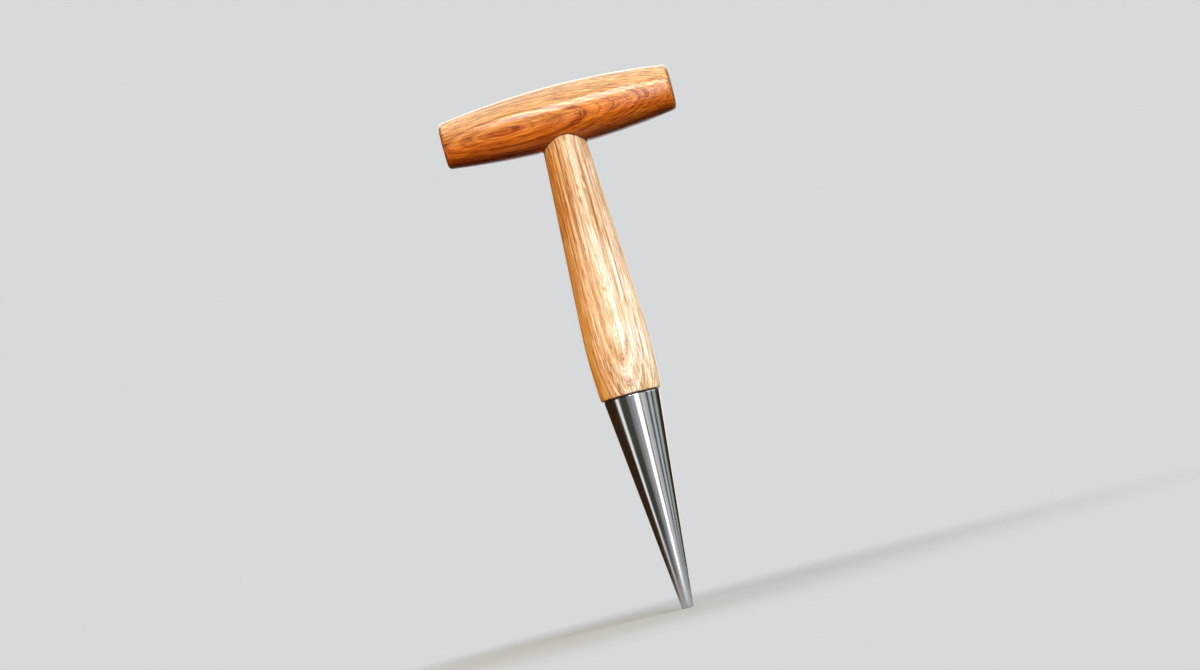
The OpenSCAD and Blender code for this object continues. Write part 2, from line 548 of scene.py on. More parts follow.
    def relief(self) -> Socket:
        """Adds up the relief of pores, fibres and ripples.

        Returns:
            The normal of the surface.
        """
        height = self.math("MULTIPLY", self.open, -1.0)
        ripple = self.drawn_noise(self.place, self.RIPPLE)
        for noise, weight in zip((self.fibre, self.patch, self.streak, ripple), self.RELIEF):
            height = self.math("MULTIPLY_ADD", noise, weight, height)
        return self.result("Bump", {"Height": height, "Strength": 0.35, "Distance": 0.15 * MM})

    def finish(self) -> None:
        """Puts colour, relief and lacquer together and shows them."""
        normal = self.relief()
        rough = self.math("MULTIPLY_ADD", self.open, self.PORE_ROUGH, self.remap(self.fibre, self.POLISH))
        self.show(self.result("BsdfPrincipled", {
            "Base Color": self.colour(), "Roughness": rough, "Normal": normal, "Coat Normal": normal,
            "IOR": 1.2, "Coat Weight": 0.6, "Coat Roughness": 0.17}))


class Lay(Enum):
    """Way that the polishing lines run on a piece of steel."""

    ALONG = "along the axis"
    ROUND = "round the axis"


@dataclass(frozen=True)
class SteelFinish:
    """Polished or ground stainless steel.

    Attributes:
        name: Name of the material.
        colour: Colour of the bare metal.
        rough: Roughness between the polishing lines.
        lines: Polishing lines in a millimetre, on a circle of 10 mm radius.
        depth: Depth of the polishing lines, in millimetres.
        lay: Way that the polishing lines run.
        worn: Roughness that use adds at the tip.
        worn_span: Where the wear ends and where it is full, in millimetres along the axis.
        origin: A point on the axis.
        axis: Direction of the axis.
    """

    # Radius of the circle that the lines are counted on, and how fast they change along their way
    LINE_CIRCLE = 10.0
    ALONG_RATE = 0.025
    ROUND_RATE = 0.05
    # Fine and broad lines, as shares of the stated number, and the relief of the broad ones
    FINE_SHARE = 4.0
    FINE_LAYERS = (4.0, 0.65)
    BROAD_SHARE = 0.7
    BROAD_RELIEF = 2.0
    # Cloudy spots, and the colour and the roughness of the duller and the brighter ones
    SPOTS = Noise(0.18, 0.06, 3.0)
    SPOT_SPAN = (0.25, 0.75)
    SPOT_ROUGH = (0.85, 1.25)
    SHADES = Span(0.3, 0.7)
    DULL = 0.86

    name: str
    colour: Colour
    rough: float = 0.14
    lines: float = 2.2
    depth: float = 0.004
    lay: Lay = Lay.ALONG
    worn: float = 0.0
    worn_span: Point = (60.0, 5.0)
    origin: Vector = field(default_factory=Vector)
    axis: Vector = field(default_factory=UP.copy)

    def grain(self, board: ShaderBoard, place: Socket) -> Socket:
        """Makes a vector that changes fast across the polishing lines and slowly along them.

        Args:
            board: Board of the material.
            place: Place on the piece, in millimetres.

        Returns:
            The vector.
        """
        outward = board.vector("MULTIPLY", place, FLAT)
        way = board.vector("NORMALIZE", outward)
        if self.lay is Lay.ALONG:
            return board.vector("ADD", board.vector("MULTIPLY", way, (self.LINE_CIRCLE,) * 3),
                                board.vector("MULTIPLY", place, (0.0, 0.0, self.ALONG_RATE)))
        height = board.split(place)[2]
        turned = board.result("CombineXYZ", {0: board.vector("LENGTH", outward), 1: height})
        return board.vector("ADD", turned, board.vector("MULTIPLY", way, (self.ROUND_RATE,) * 3))

    def build(self) -> bpy.types.Material:
        """Builds the material.

        Returns:
            The material.
        """
        material = bpy.data.materials.new(self.name)
        board = ShaderBoard(material)
        place = board.millimetres(self.origin, self.axis)
        grain = self.grain(board, place)
        fine = board.noise(grain, self.lines * self.FINE_SHARE, *self.FINE_LAYERS)
        broad = board.noise(grain, self.lines * self.BROAD_SHARE)
        spots = board.drawn_noise(place, self.SPOTS)
        height = board.math("MULTIPLY_ADD", broad, self.BROAD_RELIEF, fine)
        relief = {"Height": height, "Strength": 0.5, "Distance": self.depth * MM}
        mean = board.math("MULTIPLY_ADD", fine, 0.5, board.math("MULTIPLY", spots, 0.5))
        dull = tuple(channel * self.DULL for channel in self.colour)
        roughness = (self.rough * share for share in self.SPOT_ROUGH)
        polish = board.remap(spots, Span(*self.SPOT_SPAN, *roughness))
        wear = board.remap(board.split(place)[2], Span(*self.worn_span, 0.0, self.worn))
        board.show(board.result("BsdfPrincipled", {
            "Base Color": board.mix(board.remap(mean, self.SHADES), dull, self.colour),
            "Roughness": board.math("ADD", polish, wear), "Metallic": 1.0,
            "Normal": board.result("Bump", relief)}))
        return material


class Keep(Enum):
    """Side of a cutting tool that stays."""

    OUTSIDE = "DIFFERENCE"
    INSIDE = "INTERSECT"


class Bench:
    """Hand operations that several pieces share."""

    TURN_STEPS = 160
    MERGE_DISTANCE = 0.002 * MM
    SHARP_ANGLE = math.radians(35)
    SMOOTH_ANGLE = math.radians(32)
    # Distances that clear an edge before it is eased, as shares of the easing's width
    EASE_MERGE = 0.4
    EASE_CLEAR = 1.6
    EASE_SEGMENTS = 4

    @staticmethod
    def clear() -> None:
        """Leaves edit mode and deselects everything."""
        if bpy.context.object and bpy.context.object.mode != "OBJECT":
            bpy.ops.object.mode_set(mode="OBJECT")
        bpy.ops.object.select_all(action="DESELECT")

    @staticmethod
    def turn(name: str, outline: Sequence[Vector], centre: Vector, axis: Turning, steps: int) -> Piece:
        """Draws a profile point by point and spins it into a closed solid.

        Args:
            name: Name of the new object.
            outline: Points of the profile, in space.
            centre: A point on the axis.
            axis: Direction of the axis.
            steps: Number of steps in the full turn.

        Returns:
            The turned object.
        """
        Bench.clear()
        bpy.ops.mesh.primitive_plane_add(size=MM, location=(0, 0, 0))
        piece = bpy.context.object
        piece.name = piece.data.name = name
        bpy.ops.object.mode_set(mode="EDIT")
        bpy.ops.mesh.select_mode(type="VERT")
        bpy.ops.mesh.merge(type="CENTER")
        bpy.ops.transform.translate(value=outline[0])
        for here, there in zip(outline, outline[1:]):
            bpy.ops.mesh.extrude_vertices_move(TRANSFORM_OT_translate={"value": there - here})
        bpy.ops.mesh.select_all(action="SELECT")
        bpy.ops.mesh.spin(steps=steps, angle=math.tau, center=centre, axis=axis.value, use_auto_merge=True)
        bpy.ops.mesh.select_all(action="SELECT")
        bpy.ops.mesh.remove_doubles(threshold=Bench.MERGE_DISTANCE)
        bpy.ops.mesh.normals_make_consistent(inside=False)
        bpy.ops.object.mode_set(mode="OBJECT")
        return piece

    @staticmethod
    def turn_upright(name: str, profile: Sequence[Point], steps: int) -> Piece:
        """Turns a profile of radius and height round the upright axis, and returns the solid."""
        outline = [Vector((radius, 0, height)) for radius, height in profile]
        return Bench.turn(name, outline, Vector(), Turning.UPRIGHT, steps)

    @staticmethod
    def pick(piece: Piece) -> None:
        """Makes a piece the only one selected, and the active one.

        Args:
            piece: The piece.
        """
        Bench.clear()
        bpy.context.view_layer.objects.active = piece
        piece.select_set(True)

    @staticmethod
    def settle(piece: Piece, place: Vector, up: Vector) -> None:
        """Moves a piece that was made upright at the origin to its place, in its mesh.

        Args:
            piece: The piece.
            place: Where its origin goes.
            up: Where its +Z axis points then.
        """
        Bench.pick(piece)
        piece.rotation_euler = UP.rotation_difference(up).to_euler()
        piece.location = place
        bpy.ops.object.transform_apply(location=True, rotation=True, scale=True)

    @staticmethod
    def rod(name: str, start: Vector, end: Vector, radius: float, sides: int) -> Piece:
        """Adds a plain round bar between two points.

        Args:
            name: Name of the bar.
            start: Middle of one end.
            end: Middle of the other end.
            radius: Radius of the bar.
            sides: Number of sides.

        Returns:
            The bar.
        """
        Bench.clear()
        way = end - start
        turn = way.to_track_quat("Z", "Y").to_euler()
        bpy.ops.mesh.primitive_cylinder_add(vertices=sides, radius=radius, depth=way.length,
                                            location=(start + end) / 2, rotation=turn)
        rod = bpy.context.object
        rod.name = rod.data.name = name
        bpy.ops.object.transform_apply(location=True, rotation=True, scale=True)
        return rod

    @staticmethod
    def cut(piece: Piece, tool: Piece, keep: Keep = Keep.OUTSIDE) -> None:
        """Cuts a piece with a tool and throws the tool away.

        Args:
            piece: Piece that is cut.
            tool: Solid that cuts it.
            keep: Side of the tool that stays.
        """
        Bench.pick(piece)
        cut = piece.modifiers.new("cut", "BOOLEAN")
        cut.operation = keep.value
        cut.solver = "EXACT"
        cut.object = tool
        bpy.ops.object.modifier_apply(modifier=cut.name)
        bpy.data.objects.remove(tool, do_unlink=True)

    @staticmethod
    def sharp_edges(mesh: bmesh.types.BMesh, near: Callable[[Vector], bool]) -> list[bmesh.types.BMEdge]:
        """Returns the sharp edges of a mesh that lie near a place."""
        return [edge for edge in mesh.edges if edge.calc_face_angle(0.0) > Bench.SHARP_ANGLE
                and all(near(corner.co) for corner in edge.verts)]

    @staticmethod
    def select(piece: Piece, mode: str, parts: Sequence[Part]) -> None:
        """Selects parts of a piece in edit mode, and nothing else.

        Args:
            piece: The piece.
            mode: Kind of the parts.
            parts: Faces, edges or vertices.
        """
        bpy.ops.mesh.select_mode(type=mode)
        bpy.ops.mesh.select_all(action="DESELECT")
        for part in parts:
            part.select_set(True)
        bmesh.update_edit_mesh(piece.data)

    @staticmethod
    def ease(piece: Piece, near: Callable[[Vector], bool], width: float) -> None:
        """Rounds the sharp edges at a place, after clearing the vertices that crowd them.

        Args:
            piece: The piece.
            near: Tells whether a point lies at the place.
            width: Width of the rounding.
        """
        Bench.pick(piece)
        bpy.ops.object.mode_set(mode="EDIT")
        mesh = bmesh.from_edit_mesh(piece.data)
        Bench.select(piece, "EDGE", Bench.sharp_edges(mesh, near))
        bpy.ops.mesh.remove_doubles(threshold=width * Bench.EASE_MERGE)
        mesh = bmesh.from_edit_mesh(piece.data)
        rim = {corner for edge in Bench.sharp_edges(mesh, near) for corner in edge.verts}
        tree = KDTree(len(rim))
        for index, corner in enumerate(rim):
            tree.insert(corner.co, index)
        tree.balance()
        clear = width * Bench.EASE_CLEAR
        crowd = [corner for corner in mesh.verts
                 if corner not in rim and near(corner.co) and tree.find(corner.co)[2] < clear]
        Bench.select(piece, "VERT", crowd)
        if crowd:
            bpy.ops.mesh.dissolve_verts()
        mesh = bmesh.from_edit_mesh(piece.data)
        Bench.select(piece, "EDGE", Bench.sharp_edges(mesh, near))
        bpy.ops.mesh.bevel(offset=width, segments=Bench.EASE_SEGMENTS, affect="EDGES", clamp_overlap=False)
        bpy.ops.object.mode_set(mode="OBJECT")

    @staticmethod
    def finish(piece: Piece, node: str, slot: str, material: bpy.types.Material) -> None:
        """Smooths and dresses a piece, and puts it in the place of its CAD node.

        Args:
            piece: The finished piece.
            node: Name of the CAD node that it stands for.
            slot: Name of the record's material slot; not used.
            material: Material of the piece.
        """
        Bench.pick(piece)
        bpy.ops.object.shade_smooth_by_angle(angle=Bench.SMOOTH_ANGLE)
        piece.data.materials.clear()
        piece.data.materials.append(material)
        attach(piece, BODY)
        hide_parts(node)
        log.info("%s: %d faces in the place of %s", piece.name, len(piece.data.polygons), node)


@dataclass
class SteelPoint:
    """The hollow steel point, the plug that closes its tip and the screw that holds it on the shaft.

    Attributes:
        length: Length from tip to rim.
        rim_d: Outside diameter at the rim.
        tip_d: Outside diameter at the tip, before its edge is rounded.
        wall: Thickness of the steel.
        tip_round: Radius of the edge at the tip.
        rim_round: Radius of the outer edge at the rim.
        screw_below_rim: Distance of the screw below the rim, at the back.
        screw_d: Diameter of the screw's shank.
        screw_head_d: Diameter of the screw's countersunk head.
        screw_length: Length of the screw.
        screw_tip: Length of the screw's pointed end.
        screw_edge: Height of the upright edge of the head.
        screw_round: Radius of the edge of the head.
        screw_sink: Depth of the head below the steel.
        screw_gap: Gap round the screw.
        recess: Length, width and depth of each arm of the cross recess.
        recess_taper: Size of the recess at its bottom, as a share of its top.
        steel: Finish of the point.
        plug_steel: Finish of the plug.
    """

    TIP_STEPS = 10
    RIM_STEPS = 8
    SIDE_STEPS = 90
    BORE_STEPS = 12
    HEAD_STEPS = 5
    SCREW_TURN_STEPS = 64

    length: float
    rim_d: float = 29.4 * MM
    tip_d: float = 6.0 * MM
    wall: float = 1.5 * MM
    tip_round: float = 0.8 * MM
    rim_round: float = 0.7 * MM
    screw_below_rim: float = 13.0 * MM
    screw_d: float = 3.0 * MM
    screw_head_d: float = 6.0 * MM
    screw_length: float = 14.0 * MM
    screw_tip: float = 3.0 * MM
    screw_edge: float = 0.2 * MM
    screw_round: float = 0.12 * MM
    screw_sink: float = 0.2 * MM
    screw_gap: float = 0.05 * MM
    recess: tuple[float, float, float] = (3.2 * MM, 0.8 * MM, 0.9 * MM)
    recess_taper: float = 0.3
    steel: SteelFinish = SteelFinish("polished_steel", (0.62, 0.62, 0.635), worn=0.18)
    plug_steel: SteelFinish = SteelFinish("ground_steel", (0.56, 0.56, 0.57), rough=0.32, lay=Lay.ROUND)

    @property
    def lean(self) -> float:
        """Angle between the side of the point and its axis."""
        return math.atan((self.rim_d - self.tip_d) / 2 / self.length)

    def outer(self, height: float) -> float:
        """Returns the outside radius at a height above the tip."""
        return self.tip_d / 2 + height * math.tan(self.lean)

    def inner(self, height: float) -> float:
        """Returns the inside radius at a height above the tip."""
        return self.outer(height) - self.wall / math.cos(self.lean)

    def profile(self) -> list[Point]:
        """Draws the closed outline of the steel.

        Returns:
            The points, as radius and height.
        """
        inset = 1 / math.cos(self.lean)
        tip = (self.outer(self.tip_round) - self.tip_round * inset, self.tip_round)
        rim_height = self.length - self.rim_round
        rim = (self.outer(rim_height) - self.rim_round * inset, rim_height)
        tip_edge = arc(tip, self.tip_round, -QUARTER_TURN, -self.lean, self.TIP_STEPS)
        rim_edge = arc(rim, self.rim_round, -self.lean, QUARTER_TURN, self.RIM_STEPS)
        mouth = (self.inner(0), 0.0)
        top = (self.inner(self.length), self.length)
        return [mouth, *tip_edge, *line(tip_edge[-1], rim_edge[0], self.SIDE_STEPS), *rim_edge[1:], top,
                *line(top, mouth, self.BORE_STEPS)]

    @property
    def screw_way(self) -> Vector:
        """Direction out of the steel along the screw."""
        return Vector((0, math.cos(self.lean), -math.sin(self.lean)))

    @property
    def screw_top(self) -> Vector:
        """Middle of the top of the screw's head."""
        height = self.length - self.screw_below_rim
        return Vector((0, self.outer(height), height)) - self.screw_way * self.screw_sink

    def screw_profile(self, gap: float) -> list[Point]:
        """Draws the outline of the screw below its head's edge.

        Args:
            gap: Gap all round it.

        Returns:
            The points, as radius and height above the head.
        """
        shank, head = self.screw_d / 2 + gap, self.screw_head_d / 2 + gap
        throat = -self.screw_edge - (self.screw_head_d - self.screw_d) / 2
        return [(0.0, -self.screw_length - gap), (shank, self.screw_tip - self.screw_length - gap),
                (shank, throat), (head, -self.screw_edge)]

    def screw_hole(self) -> Piece:
        """Makes a tool that drills and countersinks for the screw.

        Returns:
            The tool.
        """
        below = self.screw_profile(self.screw_gap)
        mouth = self.screw_head_d / 2
        reach = below[-1][0] + mouth + self.screw_edge
        profile = [*below, (reach, mouth), (0.0, mouth)]
        tool = Bench.turn_upright("screw_hole", profile, self.SCREW_TURN_STEPS)
        Bench.settle(tool, self.screw_top, self.screw_way)
        return tool

    def recess_arm(self, turn: float) -> Piece:
        """Makes a tapered tool for one arm of the cross recess.

        Args:
            turn: Turn of the arm about the screw, in radians.

        Returns:
            The tool.
        """
        length, width, depth = self.recess
        Bench.clear()
        bpy.ops.mesh.primitive_cube_add(size=1, rotation=(0, 0, turn), scale=(length, width, 2 * depth))
        tool = bpy.context.object
        bpy.ops.object.transform_apply(location=True, rotation=True, scale=True)
        bpy.ops.object.mode_set(mode="EDIT")
        faces = bmesh.from_edit_mesh(tool.data).faces
        Bench.select(tool, "FACE", [min(faces, key=lambda face: face.normal.z)])
        bpy.ops.transform.resize(value=(self.recess_taper, self.recess_taper, 1),
                                 center_override=(0, 0, -depth))
        bpy.ops.object.mode_set(mode="OBJECT")
        return tool

    def screw(self) -> None:
        """Models and dresses the screw."""
        edge = (self.screw_head_d / 2 - self.screw_round, -self.screw_round)
        rounded = arc(edge, self.screw_round, 0.0, QUARTER_TURN, self.HEAD_STEPS)
        profile = [*self.screw_profile(0.0), *rounded, (0.0, 0.0)]
        piece = Bench.turn_upright("countersunk_screw", profile, self.SCREW_TURN_STEPS)
        for turn in (0.0, QUARTER_TURN):
            Bench.cut(piece, self.recess_arm(turn))
        Bench.settle(piece, self.screw_top, self.screw_way)
        finish = SteelFinish("turned_screw_steel", (0.6, 0.6, 0.61), rough=0.26, lay=Lay.ROUND,
                             origin=self.screw_top, axis=self.screw_way)
        Bench.finish(piece, "socket_screw", "screw_steel", finish.build())

    def build(self) -> None:
        """Models and dresses the point and the screw, and dresses the plug."""
        piece = Bench.turn_upright("steel_point", self.profile(), Bench.TURN_STEPS)
        Bench.cut(piece, self.screw_hole())
        Bench.finish(piece, "point_shell", "point_steel", self.steel.build())
        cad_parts["nose_plug"].material_slots[0].material = self.plug_steel.build()
        log.info("nose_plug: dressed")
        self.screw()


@dataclass
class Shaft:
    """The turned shaft: spigot, shoulder, belly, taper and tenon.

    Attributes:
        shoulder_z: Height of the shoulder.
        neck_z: Height of the neck, at the lowest line of the crossbar.
        bottom: Height of the end of the spigot.
        top: Height of the end of the tenon.
        point: The steel point that the spigot fits in.
        neck_d: Diameter of the neck and the tenon.
        belly_d: Diameter of the belly.
        belly_rise: Height of the belly above the shoulder.
        shoulder_d: Diameter of the shoulder, before its edge is rounded.
        shoulder_round: Radius of the edge of the shoulder.
        chamfer: Chamfer on both ends.
        fit_gap: Gap round the spigot.
    """

    EDGE_STEPS = 12
    BELLY_STEPS = 60
    SPIGOT_STEPS = 12
    TAPER_STEPS = 90
    TENON_STEPS = 24

    shoulder_z: float
    neck_z: float
    bottom: float
    top: float
    point: SteelPoint
    neck_d: float = 23.4 * MM
    belly_d: float = 34.2 * MM
    belly_rise: float = 25.0 * MM
    shoulder_d: float = 32.0 * MM
    shoulder_round: float = 1.2 * MM
    chamfer: float = 1.0 * MM
    fit_gap: float = 0.1 * MM

    @property
    def belly_z(self) -> float:
        """Height of the belly."""
        return self.shoulder_z + self.belly_rise

    def profile(self) -> list[Point]:
        """Draws the outline from the spigot's end up to the tenon's.

        Returns:
            The points, as radius and height.
        """
        radius = arc_radius(self.belly_rise, (self.belly_d - self.shoulder_d) / 2)
        centre = (self.belly_d / 2 - radius, self.belly_z)
        edge = edge_centre(centre, radius, self.shoulder_z + self.shoulder_round, self.shoulder_round)
        low = angle_to(centre, edge)
        neck = (self.neck_d / 2, self.neck_z)
        high = angle_to(centre, neck) - math.acos(radius / math.dist(centre, neck))
        gap = self.fit_gap / math.cos(self.point.lean)
        end = self.point.inner(self.bottom) - gap
        first = (self.point.inner(self.bottom + self.chamfer) - gap, self.bottom + self.chamfer)
        last = (self.point.inner(self.shoulder_z) - gap, self.shoulder_z)
        shoulder = arc(edge, self.shoulder_round, -QUARTER_TURN, low, self.EDGE_STEPS)
        belly = arc(centre, radius, low, high, self.BELLY_STEPS)
        tenon = (self.neck_d / 2, self.top - self.chamfer)
        return [(0.0, self.bottom), (end - self.chamfer, self.bottom), first,
                *line(first, last, self.SPIGOT_STEPS), *shoulder, *belly[1:],
                *line(belly[-1], neck, self.TAPER_STEPS), *line(neck, tenon, self.TENON_STEPS),
                (self.neck_d / 2 - self.chamfer, self.top), (0.0, self.top)]

    def finish(self) -> AshFinish:
        """Chooses the ash that the shaft is turned from.

        Returns:
            The ash.
        """
        pith = Vector((-1.5 * MM, 50 * MM, self.belly_z))
        return AshFinish("honey_ash", pith, grain=Vector((0, 0.052, 1)),
                         pale=linear(246, 231, 208), honey=linear(241, 211, 172), row=linear(152, 78, 12),
                         pore=linear(122, 64, 16), blush=linear(248, 230, 204), tint_and_painted_shade=linear(224, 208, 188),
                         tint_and_painted_shade_span=(80.0, 0.0), ring_step=1.35, wander=1.2, row_depth=0.93, outer_rows=0.35)

    def build(self, drills: Sequence[Piece]) -> None:
        """Models the shaft, drills it and dresses it.

        Args:
            drills: Tools that make its holes.
        """
        piece = Bench.turn_upright("turned_shaft", self.profile(), Bench.TURN_STEPS)
        for drill in drills:
            Bench.cut(piece, drill)
        Bench.finish(piece, "shaft", "shaft_wood", self.finish().build())


@dataclass
class Crossbar:
    """The barrel-shaped grip across the top of the shaft, and the dowel that pins it.

    Attributes:
        length: Length of the bar.
        middle_d: Diameter at the middle.
        top_z: Height of the top of the bar.
        tenon_top: Height of the end of the tenon.
        tenon_d: Diameter of the tenon.
        dowel_start: Middle of the blind end of the dowel.
        dowel_d: Diameter of the dowel.
        end_d: Diameter at the ends, before their edges are rounded.
        edge_round: Radius of the edge of each end.
        lip_round: Width of the eased edge of the mortise.
        dowel_round: Width of the eased edges of the dowel and of its hole.
        tenon_gap: Gap round the tenon.
        dowel_gap: Gap round the dowel.
        end_gap: Gap beyond the end of the tenon and of the dowel.
    """

    EDGE_STEPS = 14
    BARREL_STEPS = 130
    END_STEPS = 6
    DOWEL_SIDES = 72
    # How far from an edge its own vertices are looked for
    DOWEL_MARGIN = 1.0 * MM
    MORTISE_MARGIN = 1.5 * MM

    length: float
    middle_d: float
    top_z: float
    tenon_top: float
    tenon_d: float
    dowel_start: Vector
    dowel_d: float
    end_d: float = 24.0 * MM
    edge_round: float = 2.5 * MM
    lip_round: float = 0.4 * MM
    dowel_round: float = 0.16 * MM
    tenon_gap: float = 0.12 * MM
    dowel_gap: float = 0.05 * MM
    end_gap: float = 0.5 * MM

    @property
    def axis_z(self) -> float:
        """Height of the bar's axis."""
        return self.top_z - self.middle_d / 2

    @property
    def dowel_end(self) -> Vector:
        """A point on the dowel's axis, clear of the back of the bar."""
        return self.dowel_start + Vector((0, self.middle_d, 0))

    def profile(self) -> list[Point]:
        """Draws the outline from one end to the other.

        Returns:
            The points, as radius and place along the bar.
        """
        half = self.length / 2
        radius = arc_radius(half, (self.middle_d - self.end_d) / 2)
        centre = (self.middle_d / 2 - radius, 0.0)
        edge = edge_centre(centre, radius, half - self.edge_round, self.edge_round)
        turn = angle_to(centre, edge)
        first = arc((edge[0], -edge[1]), self.edge_round, -QUARTER_TURN, -turn, self.EDGE_STEPS)
        barrel = arc(centre, radius, -turn, turn, self.BARREL_STEPS)
        last = arc(edge, self.edge_round, turn, QUARTER_TURN, self.EDGE_STEPS)
        return [(0.0, -half), *line((0.0, -half), first[0], self.END_STEPS), *first[1:], *barrel[1:],
                *last[1:], *line(last[-1], (0.0, half), self.END_STEPS)]

    def finish(self) -> AshFinish:
        """Chooses the ash that the bar is turned from.

        Returns:
            The ash.
        """
        tilt = math.radians(10)
        distance = 57.2 * MM
        pith = Vector((0, distance * math.cos(tilt), self.axis_z + distance * math.sin(tilt)))
        # Painted shade: the tint deepens the lower half of the bar to orange and the upper half stays
        # paler, as light falls from above.
        return AshFinish("amber_ash", pith, grain=Vector((1, -0.06, 0)),
                         pale=linear(211, 167, 98), honey=linear(198, 131, 62), row=linear(134, 66, 13),
                         pore=linear(58, 22, 4), blush=linear(236, 206, 172), tint_and_painted_shade=(1.12, 0.5, 0.1),
                         tint_and_painted_shade_span=(-20.0, -2.0), ring_step=0.85, wander=1.1, row_depth=0.95,
                         fibre_span=(0.38, 1.36), streak_share=0.4, tint_and_painted_shade_way=UP)

    def dowel_finish(self) -> AshFinish:
        """Chooses the ash that the dowel is made from.

        Returns:
            The ash.
        """
        pith = self.dowel_start + Vector((8 * MM, 0, -5 * MM))
        return AshFinish("dowel_ash", pith, grain=Vector((0.03, 1, 0.02)),
                         pale=linear(206, 142, 78), honey=linear(182, 112, 54), row=linear(128, 66, 26),
                         pore=linear(60, 26, 10), blush=linear(236, 212, 184), tint_and_painted_shade=linear(250, 240, 228),
                         tint_and_painted_shade_span=(-20.0, -60.0), ring_step=1.2)

    def blank(self, name: str) -> Piece:
        """Turns the bar before it is drilled.

        Args:
            name: Name of the blank.

        Returns:
            The blank.
        """
        middle = Vector((0, 0, self.axis_z))
        outline = [middle + Vector((along, 0, radius)) for radius, along in self.profile()]
        return Bench.turn(name, outline, middle, Turning.ACROSS, Bench.TURN_STEPS)

    def dowel_hole(self) -> Piece:
        """Makes a tool that drills for the dowel.

        Returns:
            The tool.
        """
        start = self.dowel_start - Vector((0, self.end_gap, 0))
        radius = self.dowel_d / 2 + self.dowel_gap
        return Bench.rod("dowel_hole", start, self.dowel_end, radius, self.DOWEL_SIDES)

    def at_dowel_mouth(self, point: Vector) -> bool:
        """Looks for the mouth of the dowel's hole, on the back of the bar.

        Args:
            point: The point to test.

        Returns:
            Whether the point lies near the mouth.
        """
        across = math.hypot(point.x, point.z - self.dowel_start.z)
        on_back = point.y > self.tenon_d / 2 + self.DOWEL_MARGIN
        return on_back and across < self.dowel_d / 2 + self.DOWEL_MARGIN

    def at_mortise_mouth(self, point: Vector) -> bool:
        """Tells whether a point lies near the mouth of the mortise, under the bar."""
        away = abs(math.hypot(point.x, point.y) - self.tenon_d / 2)
        return point.z < self.axis_z - self.middle_d / 4 and away < self.MORTISE_MARGIN

    def dowel(self) -> None:
        """Models the dowel, flush with the back of the bar, and dresses it."""
        radius = self.dowel_d / 2
        piece = Bench.rod("flush_dowel", self.dowel_start, self.dowel_end, radius, self.DOWEL_SIDES)
        Bench.cut(piece, self.blank("dowel_trim"), Keep.INSIDE)
        Bench.ease(piece, self.at_dowel_mouth, self.dowel_round)
        Bench.finish(piece, "tenon_dowel", "dowel_wood", self.dowel_finish().build())

    def build(self) -> None:
        """Models the bar, drills it and dresses it, and then its dowel."""
        piece = self.blank("barrel_crossbar")
        below = Vector((0, 0, self.axis_z - self.middle_d))
        above = Vector((0, 0, self.tenon_top + self.end_gap))
        radius = self.tenon_d / 2 + self.tenon_gap
        Bench.cut(piece, Bench.rod("mortise", below, above, radius, Bench.TURN_STEPS))
        Bench.cut(piece, self.dowel_hole())
        Bench.ease(piece, self.at_mortise_mouth, self.lip_round)
        Bench.ease(piece, self.at_dowel_mouth, self.dowel_round)
        Bench.finish(piece, "crossbar", "bar_wood", self.finish().build())
        self.dowel()


class Window(NamedTuple):
    """A range of an angle with soft edges, in degrees.

    Attributes:
        middle: Middle of the range.
        half: Half of its width.
        soft: Width of each soft edge.
    """

    middle: float
    half: float
    soft: float

    def open(self, board: ShaderBoard, angle: Socket) -> Socket:
        """Tells how far an angle lies in the range.

        Args:
            board: Board that the angle is on.
            angle: Angle in degrees.

        Returns:
            1 in the range, falling to 0 over the soft edge.
        """
        away = board.math("SUBTRACT", angle, self.middle)
        away = board.math("WRAP", away, HALF_TURN_DEGREES, -HALF_TURN_DEGREES)
        return board.remap(board.math("ABSOLUTE", away), Span(self.half, self.half + self.soft, 1.0, 0.0))


@dataclass(frozen=True)
class StripLight:
    """A tall soft light that the polished steel mirrors as a line.

    Attributes:
        width: Where the light stands, to the right of the camera.
        strength: Brightness.
        tint: Colour.
    """

    width: Window
    strength: float
    tint: Colour = WHITE


class Role(Enum):
    """What a studio light adds to the picture."""

    FULL = "light and gloss"
    FILL = "light without gloss"
    SHEEN = "gloss alone"


@dataclass(frozen=True)
class Softbox:
    """A soft area light that faces the object.

    Attributes:
        name: Name of the light.
        azimuth: Degrees to the right of the camera.
        elevation: Degrees above the horizon.
        distance: Distance from the object.
        size: Width and height of the light.
        energy: Power of the light.
        colour: Colour of the light.
        role: What the light adds.
    """

    name: str
    azimuth: float
    elevation: float
    distance: float
    size: Point
    energy: float
    colour: Colour = WHITE
    role: Role = Role.FULL

    def hang(self, target: Vector) -> None:
        """Adds the light.

        Args:
            target: Point that it faces.
        """
        side, rise = math.radians(self.azimuth), math.radians(self.elevation)
        way = Vector((math.sin(side) * math.cos(rise), -math.cos(side) * math.cos(rise), math.sin(rise)))
        Bench.clear()
        bpy.ops.object.light_add(type="AREA", location=target + way * self.distance)
        light = bpy.context.object
        light.name = self.name
        light.rotation_euler = way.to_track_quat("Z", "Y").to_euler()
        light.data.shape = "RECTANGLE"
        light.data.size, light.data.size_y = self.size
        light.data.energy = self.energy
        light.data.color = self.colour
        light.visible_glossy = self.role is not Role.FILL
        light.visible_diffuse = self.role is not Role.SHEEN


